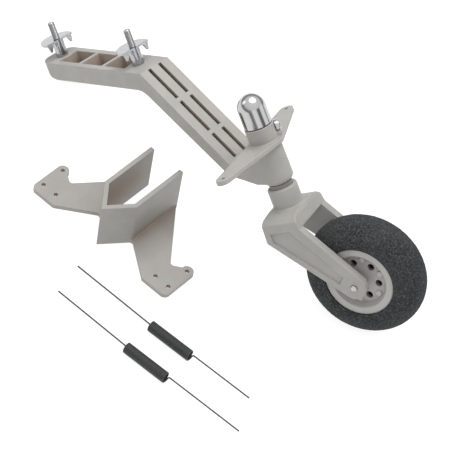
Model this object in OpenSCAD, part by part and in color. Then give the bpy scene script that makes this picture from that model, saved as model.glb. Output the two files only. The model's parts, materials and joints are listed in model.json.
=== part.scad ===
// Steerable tailwheel kit for a model aircraft: a moulded mount arm with a castering fork and wheel,
// a rudder bracket and two steering springs, laid out on a table. Millimetres, +Z up, table at z = 0.

/* [Mounting pad] */
// Distance between the two mounting bolts
bolt_pitch = 55; // [40:0.5:70]
// Width of the pad and of the arm
pad_w = 15.5; // [12:0.1:22]
// Thickness of the pad
pad_t = 7.9; // [6.5:0.1:11]
// Radius of the rounded toe under the front of the pad
toe_r = 10; // [8.5:0.1:14]
// Start of the flat underside behind the front bolt
toe_x = 2.5; // [0:0.1:6]
// Corner radius of the pad's front end in plan
front_corner_r = 6; // [2:0.1:7]
// Distance from the rear bolt to the bend in the arm
bend_run = 10.3; // [7:0.1:20]
// Floor left under the pad's pockets
pocket_floor = 1.6; // [1:0.1:3]
// Wall left beside the pad's pockets
pocket_wall = 2.8; // [1.5:0.1:4]
// Rib between two pockets
pocket_rib = 1.8; // [1:0.1:3]
// Number of pockets between the bolts
pocket_count = 3; // [1:1:5]
// Radius of the boss around each bolt
boss_r = 4.6; // [4:0.1:6]

/* [Arm] */
// Slope of the arm below the pad, degrees
arm_slope = 43.3; // [30:0.1:55]
// Thickness of the arm at the bend
arm_root_t = 7.3; // [5:0.1:9]
// Thickness of the arm at the barrel
arm_tip_t = 5.3; // [4:0.1:7]
// Fillet under the bend
bend_fillet = 9; // [3:0.5:14]
// Fillet where the arm's top runs up to the barrel
root_fillet = 6; // [3:0.1:8]
// Rise of the arm's heel in front of the barrel, degrees
heel_rise = 12; // [4:0.5:25]
// Height of the arm's heel above the barrel's underside
heel_step = 1.5; // [0.5:0.1:3]
// Step from the barrel's top down to the end of the arm's fillet
root_step = 0.6; // [0.3:0.1:2]
// Width of one lightening slot
slot_w = 1.6; // [1:0.1:2.4]
// Distance between the two rows of slots
slot_rows = 5.6; // [4:0.1:8]
// Length of a full slot
slot_len = 17.5; // [10:0.1:22]
// Length of the slot next to the barrel
slot_last = 13.8; // [6:0.1:18]
// Bridge between two slots
slot_bridge = 2; // [1:0.1:4]

/* [Swivel] */
// Distance from the rear bolt to the swivel axis, along the pad
swivel_run = 68.9; // [60:0.1:85]
// Drop from the pad's top face to the underside of the barrel
swivel_drop = 46.9; // [42:0.1:56]
// Rake of the swivel axis from the pad's normal, degrees
swivel_rake = 3.6; // [0:0.1:10]
// Radius of the barrel
barrel_r = 6.2; // [5.5:0.1:8]
// Height of the barrel
barrel_h = 15.5; // [14:0.1:22]
// Rounding of the barrel's lower edge
barrel_round = 2.4; // [0.5:0.1:2.8]
// Diameter of the strut shaft
shaft_d = 4; // [3:0.1:5]
// Outer diameter of the two barrel bushes
bush_d = 6.4; // [5.8:0.1:8]
// Length of each barrel bush
bush_len = 6.5; // [4:0.1:7]
// Thickness of the washer under the barrel
low_washer_t = 1.6; // [1:0.1:3]
// Thickness of the washer over the barrel
top_washer_t = 0.6; // [0.4:0.1:2]
// Outer diameter of the two thrust washers
thrust_d = 9.6; // [7:0.1:11]

/* [Tiller] */
// Distance from the swivel axis to each spring hole
tiller_reach = 31.5; // [24:0.1:40]
// Forward offset of the spring holes from the swivel axis
tiller_sweep = 4.3; // [0:0.1:6]
// Turn of the tiller on the shaft from square to the fork, degrees
tiller_turn = 1.3; // [-5:0.1:5]
// Thickness of the tiller plate
tiller_t = 1.8; // [1.5:0.1:4]
// Radius of the tiller's tips
tiller_tip_r = 3; // [2:0.1:4]
// Radius of the plate around the hub
tiller_root_r = 7.4; // [7:0.1:9]
// Radius of the tiller hub
tiller_hub_r = 6; // [5:0.1:6.4]
// Fillet at the foot of the tiller hub
tiller_fillet = 0.8; // [0.3:0.1:1]
// Height of the tiller hub above the plate
tiller_hub_h = 6.8; // [5.5:0.1:10]
// Diameter of the spring holes in the tiller
spring_hole_d = 1.8; // [1.2:0.1:2.4]
// Diameter of the clamp screw
clamp_d = 2.5; // [2:0.1:3]
// Diameter of the clamp screw's head
clamp_head_d = 4.8; // [4:0.1:5.2]
// Height of the clamp screw's head
clamp_head_h = 2.2; // [1:0.1:2.5]
// Direction of the clamp screw, degrees from the wheel's trail
clamp_turn = 35; // [0:5:90]
// Radius of the dome cap
dome_r = 5.75; // [4.5:0.05:6.5]
// Straight height of the dome cap
dome_h = 8; // [6:0.1:14]

/* [Fork] */
// Steering angle as laid out, degrees from straight ahead
steer = 23; // [-40:1:40]
// Trail of the axle behind the swivel axis
trail = 22.4; // [14:0.1:30]
// Drop of the axle below the barrel
axle_drop = 45; // [40:0.1:55]
// Radius of the fork's collar
collar_r = 6.2; // [5.5:0.1:8]
// Height of the fork's collar
collar_h = 8.7; // [5:0.1:10]
// Fillet between the collar and the crown
collar_fillet = 0.9; // [0.4:0.1:1]
// Depth of the crown under the collar
crown_t = 6.2; // [5:0.1:9]
// Half length of the crown along the trail
crown_half = 7.6; // [6.5:0.1:10]
// Depth of the crown's front face
crown_face = 8.6; // [6:0.1:12]
// Thickness of each leg
leg_t = 3.4; // [2.5:0.1:5]
// Radius of each leg's end around the axle
leg_end_r = 5; // [4:0.1:7]
// Depth of the recessed panel on each leg
panel_depth = 0.6; // [0.3:0.1:1.2]
// Rim left around the recessed panel
panel_rim = 2.6; // [1.5:0.1:3.2]
// Further rim left along the panel's rear edge
panel_back = 2.4; // [0:0.1:3.5]
// Diameter of the axle pin
axle_d = 2.6; // [2:0.1:4]
// How far each axle end stands out of its leg
axle_proud = 0.8; // [0.3:0.1:2]

/* [Wheel] */
// Outer radius of the tyre
tyre_r = 25.4; // [22:0.1:26]
// Width of the tyre
tyre_w = 17.2; // [14:0.1:20]
// Clearance between the tyre and each leg
tyre_gap = 0.8; // [0.5:0.1:3]
// Thickness of the hub's flanges
hub_flange_t = 1.5; // [1:0.1:2.5]
// Distance of each flange's face inside the tyre's side
hub_inset = 0.8; // [0.3:0.1:2]
// Inner radius of the hub's rim
hub_rim_r = 11.4; // [10:0.1:13]
// Thickness of the hub's rim under the tyre
hub_rim_t = 1; // [0.8:0.1:2]
// Height of the hub's flanges over the rim
hub_lip = 2.3; // [1.5:0.1:3]
// Thickness of each half's web
hub_web_t = 1.8; // [1.2:0.1:2.4]
// Depth of each web below its flange's face
hub_dish = 2.8; // [2:0.1:3.4]
// Radius of the hub's boss
hub_boss_r = 2.5; // [2.2:0.1:4.6]
// Number of lightening holes, and of pins between them
hub_count = 6; // [4:1:8]
// Distance of the lightening holes' middles inside the rim
hub_hole_inset = 4; // [3:0.1:5]
// Diameter of each lightening hole
hub_hole_d = 3; // [2:0.1:3.4]
// Distance of the hub pins inside the rim
hub_pin_inset = 2.4; // [2:0.1:3.4]
// Diameter of the hub pins
hub_pin_d = 1.4; // [1:0.1:1.8]
// Diameter of the hub pins' heads
hub_pin_head_d = 2.2; // [1.8:0.1:2.6]
// Turn of the wheel as laid out, degrees
hub_turn = 37; // [0:1:90]

/* [Mounting hardware] */
// Diameter of the mounting bolts
bolt_d = 3; // [2.5:0.1:4]
// Length of the mounting bolts under their heads
bolt_len = 18; // [15:0.5:30]
// How far the bolts stand above the pad
bolt_stand = 15.6; // [12:0.1:20]
// Diameter of the bolt heads
bolt_head_d = 5.6; // [5:0.1:7]
// Height of the bolt heads
bolt_head_h = 2.2; // [1.5:0.1:3]
// Depth of an engaged thread under the bolts' outside
thread_bite = 0.22; // [0.16:0.01:0.3]
// Outer diameter of the washers under the heads
bolt_washer_d = 6.2; // [5:0.1:7]
// Thickness of the washers under the heads
bolt_washer_t = 0.5; // [0.3:0.1:1]
// Outer diameter of the blind nuts' barrels
nut_barrel_d = 5.2; // [4.4:0.1:6]
// Height of the blind nuts' flanges above the pad
nut_h = 8; // [6:0.1:11]
// Diameter of the blind nuts' flanges
nut_flange_d = 14.4; // [12:0.1:16]
// Thickness of the blind nuts' flanges
nut_flange_t = 0.9; // [0.6:0.1:1.4]
// Length of the blind nuts' prongs
nut_prong = 3.4; // [2:0.1:5]
// Width of the blind nuts' prongs where they fold down
nut_prong_w = 3; // [2:0.1:3.2]
// Distance of the flanges' flat edge from the bolt
nut_flat = 2.2; // [1.8:0.1:4]
// Turn of each blind nut on its bolt, degrees
nut_turn = 0; // [0:5:355]

/* [Rudder bracket] */
// Half width of the channel, outside
channel_half = 9; // [7:0.1:12]
// Length of the channel's straight walls
channel_len = 27.5; // [20:0.1:36]
// Length of the channel's nose
nose_len = 11.3; // [8:0.1:16]
// Height of the channel
channel_h = 23.2; // [15:0.1:30]
// Thickness of the channel's walls
channel_wall = 1.9; // [1.2:0.1:3]
// Thickness of the wings
wing_t = 2; // [1.4:0.1:3]
// Distance from the middle to the inner spring hole
wing_hole_in = 28.3; // [24:0.1:34]
// Distance from the middle to the outer spring holes
wing_hole_out = 35.4; // [33:0.1:42]
// Distance from the channel's front corners forward to the front holes
wing_hole_front = 6.3; // [4:0.1:10]
// Distance from the channel's front corners back to the rear hole
wing_hole_back = 5; // [2:0.1:8]
// Diameter of the spring holes in the wings
wing_hole_d = 1.8; // [1.2:0.1:2.6]
// Radius of the lobes around the holes
wing_lobe_r = 2.7; // [2:0.1:3.2]
// Distance from the channel's front corners forward to the wings' front edges
wing_front = 11.1; // [8:0.1:14]
// Fillet in the wings' notches and beside the nose
wing_fillet = 1.5; // [0.5:0.1:2]
// Distance from the middle to the inner end of a wing's front edge
wing_corner = 25.2; // [18:0.1:27]

/* [Steering springs] */
// Outer diameter of the coils
coil_d = 4.8; // [3.5:0.1:7]
// Length of the coils
coil_len = 21.8; // [14:0.1:30]
// Diameter of the spring wire
wire_d = 0.65; // [0.5:0.05:1]
// Depth to which touching turns merge
coil_bite = 0.04; // [0.02:0.01:0.08]
// Left leg of the upper spring
upper_leg_left = 41; // [25:0.5:60]
// Right leg of the upper spring
upper_leg_right = 29; // [20:0.5:60]
// Left leg of the lower spring
lower_leg_left = 38; // [25:0.5:60]
// Right leg of the lower spring
lower_leg_right = 36; // [20:0.5:60]
// Place of the left legs round the coil, degrees up from the far side
clock_left = -50; // [-60:1:90]
// Place of the right legs round the coil, degrees up from the far side
clock_right = -32; // [-60:1:90]
// Splay of the left legs to the far side, degrees
leg_splay = 1.7; // [-5:0.1:5]

/* [Layout] */
// Front bolt's place on the table, left of the middle
front_bolt_x = -93; // [-120:0.1:-60]
// Front bolt's place on the table, behind the middle
front_bolt_y = 25.9; // [0:0.1:60]
// Bracket's place from the front bolt, along the assembly
bracket_x = 81.4; // [40:0.1:120]
// Bracket's place from the front bolt, across the assembly
bracket_y = -41.6; // [-90:0.1:-30]
// Turn of the bracket, degrees
bracket_turn = 4.4; // [-30:0.1:30]
// Middle of the upper spring's coil, along the assembly
upper_spring_x = 137.6; // [90:0.1:170]
// Middle of the upper spring's coil, across the assembly
upper_spring_y = -63; // [-100:0.1:-58]
// Middle of the lower spring's coil, along the assembly
lower_spring_x = 139.3; // [90:0.1:170]
// Middle of the lower spring's coil, across the assembly
lower_spring_y = -77.7; // [-120:0.1:-70]
// Turn of both springs, degrees
spring_turn = 6.9; // [-20:0.1:20]

/* [Fits] */
// Radial clearance of parts that are fixed in each other
fixed_gap = 0.03; // [0.01:0.01:0.1]
// Radial clearance of parts that turn on each other
run_gap = 0.06; // [0.02:0.01:0.1]
// Axial play beside each thrust washer
axial_gap = 0.05; // [0.02:0.01:0.2]
// Clearance of a bolt in its hole
bolt_gap = 0.15; // [0.05:0.05:0.4]

/* [Hidden] */
$fn = 64;
eps = 0.01;
// Fillets stop this far short of the faces they run into
skim = 0.02;
bend_x = bolt_pitch + bend_run;
seat = [bolt_pitch + swivel_run, -swivel_drop];
rake_up = [-sin(swivel_rake), cos(swivel_rake)];
rake_back = [cos(swivel_rake), sin(swivel_rake)];
arm_down = [cos(arm_slope), -sin(arm_slope)];
arm_under = [-sin(arm_slope), -cos(arm_slope)];

// Where two lines cross, each given by a point and a direction
function cross2(a, b) = a[0] * b[1] - a[1] * b[0];
function meet(p, d, q, e) = p + d * cross2(q - p, e) / cross2(d, e);
function unit(v) = v / norm(v);

// Corners of the arm's side profile
bend_top = [bend_x, 0];
wall_foot = seat - barrel_r * rake_back;
arm_corner = meet(bend_top, arm_down, wall_foot, rake_up);
arm_len = norm(arm_corner - bend_top);
root_under = bend_top + arm_under * arm_root_t;
tip_under = arm_corner + arm_under * arm_tip_t;
under_dir = unit(tip_under - root_under);
bend_under = meet([0, -pad_t], [1, 0], root_under, under_dir);
heel_end = wall_foot + heel_step * rake_up;
heel = meet(root_under, under_dir, heel_end, [-cos(heel_rise), sin(heel_rise)]);

// Fillet between the arm's top and the barrel's front
root_half = acos(-arm_down * rake_up) / 2;
root_tangent = root_fillet / tan(root_half);
root_centre = arm_corner + unit(rake_up - arm_down) * root_fillet / sin(root_half);

// Fillet under the bend
bend_half = acos(under_dir * [1, 0]) / 2;
bend_tangent = bend_fillet * tan(bend_half);

// Heights along the swivel axis, from the barrel's underside
collar_top = -(low_washer_t + 2 * axial_gap);
collar_foot = collar_top - collar_h;
crown_foot = collar_foot - crown_t;
plate_foot = barrel_h + top_washer_t + 2 * axial_gap;
plate_top = plate_foot + tiller_t;
hub_top = plate_top + tiller_hub_h;
shaft_top = hub_top + dome_h - 1;
shaft_foot = crown_foot + 1.4;
clamp_z = hub_top - clamp_head_d / 2 - 0.2;

// Widths across the fork and the wheel
leg_in = tyre_w / 2 + tyre_gap;
leg_out = leg_in + leg_t;
hub_seat_r = hub_rim_r + hub_rim_t;
hub_flange_r = hub_seat_r + hub_lip;
hub_hole_ring = hub_rim_r - hub_hole_inset;
hub_pin_ring = hub_rim_r - hub_pin_inset;
flange_out = tyre_w / 2 - hub_inset;
flange_in = flange_out - hub_flange_t;
tube_r = tyre_w / 2;
ring_r = tyre_r - tube_r;
boss_out = leg_in - 0.25;
web_out = flange_out - hub_dish;
web_in = web_out - hub_web_t;

// Pitch at which the toe and the tyre both rest on the table
function toe_low(p) = toe_x * sin(p) + (toe_r - pad_t) * cos(p) - toe_r;
wheel_x = seat[0] + trail * cos(steer) * rake_back[0] - axle_drop * rake_up[0];
wheel_z = seat[1] + trail * cos(steer) * rake_back[1] - axle_drop * rake_up[1];
function axle_lean(p) = sin(steer) * sin(p + swivel_rake);
function tyre_low(p) = wheel_x * sin(p) + wheel_z * cos(p)
    - ring_r * sqrt(1 - pow(axle_lean(p), 2)) - tube_r;
function rest_pitch(lo, hi, n) = n == 0 ? (lo + hi) / 2
    : let (mid = (lo + hi) / 2)
      tyre_low(mid) > toe_low(mid) ? rest_pitch(lo, mid, n - 1) : rest_pitch(mid, hi, n - 1);
stand_pitch = rest_pitch(5, 75, 40);
stand_h = -toe_low(stand_pitch);

// From the assembly's own frame, with the front bolt on the pad's top at its origin, to the table
module standing() {
    translate([front_bolt_x, front_bolt_y, stand_h])
        rotate([0, -stand_pitch, 0])
            children();
}

// From the barrel's underside, with the swivel axis upright, to the table
module at_barrel() {
    standing()
        translate([seat[0], 0, seat[1]])
            rotate([0, -swivel_rake, 0])
                children();
}

// As above, and turned with the steering
module steered() {
    at_barrel()
        rotate([0, 0, steer])
            children();
}

// Wheel's frame, with the axle along Z
module at_axle() {
    steered()
        translate([trail, 0, -axle_drop])
            rotate([90, 0, 0])
                children();
}

// Side view drawn in X and Z, as thick as w across Y
module across(w) {
    rotate([90, 0, 0])
        linear_extrude(w, center = true)
            children();
}

// Round-ended link between two circles
module link(a, ra, b, rb) {
    turn = atan2(b[1] - a[1], b[0] - a[0]);
    open = acos((ra - rb) / norm(b - a));
    up = [cos(turn + open), sin(turn + open)];
    down = [cos(turn - open), sin(turn - open)];
    translate(a) circle(ra);
    translate(b) circle(rb);
    polygon([a + (ra - skim) * up, a + (ra - skim) * down, b + (rb - skim) * down, b + (rb - skim) * up]);
}

// Fillet of radius r in the inner corner c between edges towards a and b
module corner_fill(c, a, b, r) {
    u = unit(a - c);
    v = unit(b - c);
    out = unit(u + v);
    half = acos(u * v) / 2;
    run = r / tan(half);
    difference() {
        polygon([c - out, c + u * run - out / 2, c + u * run, c + v * run, c + v * run - out / 2]);
        translate(c + out * r / sin(half)) circle(r + skim);
    }
}

// Flat ring on Z
module ring(r_out, r_in, h) {
    difference() {
        cylinder(h = h, r = r_out);
        translate([0, 0, -eps]) cylinder(h = h + 2 * eps, r = r_in);
    }
}

// Both mounting bolts
module bolt_places() {
    for (x = [0, bolt_pitch])
        translate([x, 0, 0]) children();
}

module arm_side() {
    difference() {
        union() {
            polygon([[toe_x, 0], bend_top, arm_corner - arm_down * root_tangent,
                arm_corner + rake_up * root_tangent, seat + rake_up * barrel_h,
                seat + rake_up * heel_step, heel_end, heel, bend_under, [toe_x, -pad_t]]);
            intersection() {
                translate([toe_x, toe_r - pad_t]) circle(toe_r);
                translate([toe_x - toe_r, -pad_t]) square([toe_r + 1, pad_t]);
            }
            difference() {
                polygon([bend_under + [0, 1], bend_under - [bend_tangent, -1],
                    bend_under - [bend_tangent, 0], bend_under + under_dir * bend_tangent,
                    bend_under + under_dir * bend_tangent + [1, 0]]);
                translate([bend_under[0] - bend_tangent, -pad_t - bend_fillet]) circle(bend_fillet - skim);
            }
        }
        translate(root_centre) circle(root_fillet - skim);
        translate(seat + rake_up * (barrel_h - root_step))
            rotate(swivel_rake)
                translate([-barrel_r - root_fillet, 0]) square([2 * barrel_r + root_fillet, barrel_h]);
    }
}

module arm_plan() {
    half = pad_w / 2;
    nose = toe_x - sqrt(pow(toe_r, 2) - pow(toe_r - pad_t, 2));
    for (s = [-1, 1])
        translate([nose + front_corner_r, s * (half - front_corner_r)]) circle(front_corner_r);
    translate([nose, front_corner_r - half]) square([2 * front_corner_r, pad_w - 2 * front_corner_r]);
    translate([nose + front_corner_r, -half]) square([seat[0] - nose, pad_w]);
}

// The arm's end narrows to the barrel, seen along the swivel axis
module arm_taper() {
    from = [-3 * barrel_r, pad_w / 2];
    slim = barrel_r - 0.1;
    turn = atan2(from[1], from[0]) - acos(slim / norm(from));
    to = slim * [cos(turn), sin(turn)];
    wide = to + 1.5 * (from - to);
    polygon([[-200, -30], [wide[0], -30], [wide[0], -wide[1]], [to[0], -to[1]],
        to, wide, [wide[0], 30], [-200, 30]]);
}

module pad_pockets() {
    front = boss_r - 0.8;
    span = bolt_pitch - 2 * front;
    step = (span + pocket_rib) / pocket_count;
    difference() {
        for (k = [0:pocket_count - 1])
            translate([front + k * step, pocket_wall - pad_w / 2, pocket_floor - pad_t])
                cube([step - pocket_rib, pad_w - 2 * pocket_wall, pad_t]);
        bolt_places() translate([0, 0, -2 * pad_t]) cylinder(h = 4 * pad_t, r = boss_r);
    }
}

module arm_slots() {
    lengths = [slot_len, slot_len, slot_last];
    for (k = [0:2], s = [-1, 1])
        translate([bend_x, 0, 0])
            rotate([0, arm_slope, 0])
                translate([0.4 + k * (slot_len + slot_bridge), (s * slot_rows - slot_w) / 2, -2 * arm_root_t])
                    cube([lengths[k], slot_w, 3 * arm_root_t]);
}

module mount_arm() {
    sink = bolt_stand - bolt_len + pad_t;
    color([0.70, 0.69, 0.67])
        standing() {
            difference() {
                union() {
                    intersection() {
                        across(pad_w + 2) arm_side();
                        translate([0, 0, -200]) linear_extrude(400) arm_plan();
                        translate([seat[0], 0, seat[1]])
                            rotate([0, -swivel_rake, 0])
                                linear_extrude(400, center = true) arm_taper();
                    }
                    translate([seat[0], 0, seat[1]])
                        rotate([0, -swivel_rake, 0])
                            rotate_extrude() {
                                square([barrel_r - barrel_round, barrel_h]);
                                translate([0, barrel_round]) square([barrel_r, barrel_h - barrel_round]);
                                translate([barrel_r - barrel_round, barrel_round]) circle(barrel_round);
                            }
                }
                pad_pockets();
                arm_slots();
                bolt_places() {
                    translate([0, 0, -pad_t - 1]) cylinder(h = pad_t + 2, r = bolt_d / 2 + bolt_gap);
                    translate([0, 0, -pad_t - 1]) cylinder(h = sink + 1, r = bolt_washer_d / 2 + bolt_gap);
                }
                translate([seat[0], 0, seat[1]])
                    rotate([0, -swivel_rake, 0]) {
                        translate([0, 0, -1]) cylinder(h = barrel_h + 2, r = shaft_d / 2 + 0.5);
                        for (z = [-1, barrel_h - bush_len])
                            translate([0, 0, z]) cylinder(h = bush_len + 1, r = bush_d / 2 + fixed_gap);
                    }
            }
        }
}

module barrel_bush() {
    ring(bush_d / 2, shaft_d / 2 + run_gap, bush_len);
}

module upper_bush() {
    color([0.72, 0.52, 0.28])
        at_barrel() translate([0, 0, barrel_h - bush_len]) barrel_bush();
}

module lower_bush() {
    color([0.72, 0.52, 0.28])
        at_barrel() barrel_bush();
}

module mount_bolts() {
    seat_z = bolt_stand - bolt_len - bolt_washer_t;
    color([0.78, 0.78, 0.80])
        standing()
            bolt_places() {
                translate([0, 0, seat_z]) cylinder(h = bolt_stand - seat_z - 1, r = bolt_d / 2 - thread_bite);
                translate([0, 0, nut_h + 0.2]) cylinder(h = bolt_stand - nut_h - 0.6, r = bolt_d / 2);
                translate([0, 0, bolt_stand - 0.4]) cylinder(h = 0.4, r1 = bolt_d / 2, r2 = bolt_d / 2 - 0.4);
                translate([0, 0, seat_z])
                    difference() {
                        rotate_extrude() {
                            translate([0, -bolt_head_h + 0.8]) square([bolt_head_d / 2, bolt_head_h - 0.8]);
                            translate([0, -bolt_head_h]) square([bolt_head_d / 2 - 0.8, bolt_head_h]);
                            translate([bolt_head_d / 2 - 0.8, -bolt_head_h + 0.8]) circle(0.8);
                        }
                        for (a = [0, 90])
                            rotate(a) translate([0, 0, -bolt_head_h]) cube([3, 0.7, 2], center = true);
                    }
            }
}

module bolt_washers() {
    color([0.75, 0.75, 0.77])
        standing()
            bolt_places()
                translate([0, 0, bolt_stand - bolt_len - bolt_washer_t])
                    ring(bolt_washer_d / 2, bolt_d / 2 + bolt_gap, bolt_washer_t);
}

module blind_nut() {
    rim = nut_flange_d / 2;
    corner = sqrt(rim * rim - nut_flat * nut_flat) - 0.3;
    difference() {
        union() {
            cylinder(h = nut_h, r = nut_barrel_d / 2);
            translate([0, 0, nut_h - nut_flange_t])
                linear_extrude(nut_flange_t)
                    difference() {
                        circle(rim);
                        translate([nut_flat, -rim]) square([rim, 2 * rim]);
                    }
            for (m = [0, 1])
                mirror([0, m, 0])
                    translate([nut_flat - nut_flange_t, corner, nut_h - nut_flange_t / 2])
                        rotate([90, 0, 90])
                            linear_extrude(nut_flange_t)
                                polygon([[0, 0], [-nut_prong_w, 0], [-1.3, -nut_prong], [-0.7, -nut_prong]]);
        }
        translate([0, 0, -eps]) cylinder(h = nut_h + 2 * eps, r = bolt_d / 2 - thread_bite + fixed_gap);
    }
}

module blind_nuts() {
    color([0.80, 0.80, 0.82])
        standing()
            bolt_places() rotate(nut_turn) blind_nut();
}

module strut_shaft() {
    color([0.66, 0.67, 0.69])
        steered()
            difference() {
                translate([0, 0, shaft_foot]) cylinder(h = shaft_top - shaft_foot, r = shaft_d / 2);
                rotate(clamp_turn)
                    translate([shaft_d / 2 - 0.4, -shaft_d, clamp_z - 2]) cube([shaft_d, 2 * shaft_d, 4]);
            }
}

module lower_thrust_washer() {
    color([0.30, 0.30, 0.31])
        steered()
            translate([0, 0, collar_top + axial_gap])
                ring(thrust_d / 2, shaft_d / 2 + fixed_gap, low_washer_t);
}

module upper_thrust_washer() {
    color([0.30, 0.30, 0.31])
        steered()
            translate([0, 0, barrel_h + axial_gap])
                ring(thrust_d / 2, shaft_d / 2 + fixed_gap, top_washer_t);
}

module tiller_arm() {
    tip_y = tiller_reach;
    color([0.70, 0.69, 0.67])
        steered()
            difference() {
                union() {
                    translate([0, 0, plate_foot])
                        rotate(tiller_turn)
                            linear_extrude(tiller_t)
                                for (s = [-1, 1])
                                    link([0.2, 0], tiller_root_r, [-tiller_sweep, s * tip_y], tiller_tip_r);
                    translate([0, 0, plate_foot])
                        cylinder(h = tiller_t + tiller_hub_h, r = tiller_hub_r);
                    translate([0, 0, plate_top])
                        rotate_extrude()
                            difference() {
                                square([tiller_hub_r + tiller_fillet, tiller_fillet]);
                                translate([tiller_hub_r + tiller_fillet, tiller_fillet])
                                    circle(tiller_fillet + skim);
                            }
                }
                translate([0, 0, plate_foot - 1])
                    cylinder(h = tiller_t + tiller_hub_h + 2, r = shaft_d / 2 + fixed_gap);
                rotate(tiller_turn)
                    for (s = [-1, 1])
                        translate([-tiller_sweep, s * tip_y, plate_foot - 1])
                            cylinder(h = tiller_t + 2, r = spring_hole_d / 2);
                rotate(clamp_turn)
                    translate([0, 0, clamp_z])
                        rotate([0, 90, 0])
                            cylinder(h = tiller_hub_r + 1, r = clamp_d / 2 + fixed_gap);
            }
}

module tiller_clamp_screw() {
    tip = shaft_d / 2 - 0.4 + fixed_gap;
    color([0.78, 0.78, 0.80])
        steered()
            rotate(clamp_turn)
                translate([0, 0, clamp_z])
                    rotate([0, 90, 0]) {
                        translate([0, 0, tip]) cylinder(h = tiller_hub_r + 0.4 - tip, r = clamp_d / 2);
                        translate([0, 0, tiller_hub_r + fixed_gap])
                            difference() {
                                rotate_extrude() {
                                    square([clamp_head_d / 2, clamp_head_h - 0.7]);
                                    square([clamp_head_d / 2 - 0.7, clamp_head_h]);
                                    translate([clamp_head_d / 2 - 0.7, clamp_head_h - 0.7]) circle(0.7);
                                }
                                for (a = [0, 90])
                                    rotate(a)
                                        translate([0, 0, clamp_head_h]) cube([2.8, 0.7, 1.8], center = true);
                            }
                    }
}

module dome_cap() {
    color([0.86, 0.86, 0.88])
        steered()
            translate([0, 0, hub_top])
                difference() {
                    rotate_extrude() {
                        square([dome_r, dome_h]);
                        intersection() {
                            translate([0, dome_h]) circle(dome_r);
                            translate([0, dome_h - eps]) square([dome_r + 1, dome_r + 1]);
                        }
                    }
                    translate([0, 0, -1]) cylinder(h = dome_h + 0.6, r = shaft_d / 2 + fixed_gap);
                }
}

// Side outline of the fork: a crown block that runs into two raked legs
axle_at = [trail, -axle_drop];
crown_front = [-crown_half, collar_foot - 1.6];
crown_chin = [-crown_half - 0.5, collar_foot - 1.6 - crown_face];
crown_back = [crown_half, collar_foot - 1.6];
crown_heel = [crown_half + 0.8, crown_foot];

// Point on the leg's end circle where a line from p touches it, side is 1 or -1
function touch(p, r, side) = let (d = axle_at - p, turn = atan2(d[1], d[0]) + 180 + side * acos(r / norm(d)))
    axle_at + r * [cos(turn), sin(turn)];

module fork_side(inset = 0) {
    r = leg_end_r - inset;
    polygon([crown_front + [inset, 0], crown_chin + [inset, 0], touch(crown_chin + [inset, 0], r, 1), axle_at,
        touch(crown_heel - [inset, 0], r, -1), crown_heel - [inset, 0], crown_back - [inset, 0],
        [crown_half - 0.7, collar_foot], [0.7 - crown_half, collar_foot]]);
    translate(axle_at) circle(r);
}

// Front outline of the fork: sloped shoulders over two straight legs
module fork_front() {
    low = -axle_drop - leg_end_r - 1;
    polygon([[0.6 - collar_r, collar_foot], [collar_r - 0.6, collar_foot],
        [leg_out - 2.2, collar_foot - 0.8], [leg_out, collar_foot - 2.6], [leg_out, low],
        [leg_in, low], [leg_in, crown_foot],
        [-leg_in, crown_foot], [-leg_in, low], [-leg_out, low], [-leg_out, collar_foot - 2.6],
        [2.2 - leg_out, collar_foot - 0.8]]);
}

module leg_panel() {
    top = collar_foot - 6.4;
    intersection() {
        fork_side(panel_rim);
        translate([-panel_back, 0]) fork_side(panel_rim);
        polygon([[-20, top], [5, top], [trail + 1, -axle_drop + 9.7], [trail - 7.6, -axle_drop + 0.2],
            [-20, -axle_drop]]);
    }
}

module fork() {
    color([0.69, 0.68, 0.66])
        steered()
            difference() {
                union() {
                    intersection() {
                        across(2 * leg_out) fork_side();
                        rotate([90, 0, 90]) linear_extrude(200, center = true) fork_front();
                    }
                    translate([0, 0, collar_foot - 1])
                        rotate_extrude() {
                            square([collar_r, collar_h]);
                            square([collar_r - 0.9, collar_h + 1]);
                            translate([collar_r - 0.9, collar_h + 0.1]) circle(0.9);
                        }
                    translate([0, 0, collar_foot - 0.5])
                        rotate_extrude()
                            difference() {
                                square([collar_r + collar_fillet, collar_fillet + 0.5]);
                                translate([collar_r + collar_fillet, collar_fillet + 0.5])
                                    circle(collar_fillet);
                            }
                }
                translate([0, 0, shaft_foot]) cylinder(h = 40, r = shaft_d / 2 + fixed_gap);
                for (s = [-1, 1])
                    translate([0, s * leg_out, 0]) across(2 * panel_depth) leg_panel();
                translate([trail, 0, -axle_drop])
                    rotate([90, 0, 0])
                        cylinder(h = 4 * leg_out, r = axle_d / 2 + fixed_gap, center = true);
            }
}

module axle_pin() {
    half = leg_out + axle_proud;
    color([0.78, 0.78, 0.80])
        at_axle() {
            cylinder(h = 2 * half - 0.6, r = axle_d / 2, center = true);
            for (s = [0, 1])
                mirror([0, 0, s])
                    translate([0, 0, half - 0.3])
                        cylinder(h = 0.3, r1 = axle_d / 2, r2 = axle_d / 2 - 0.3);
        }
}

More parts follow.
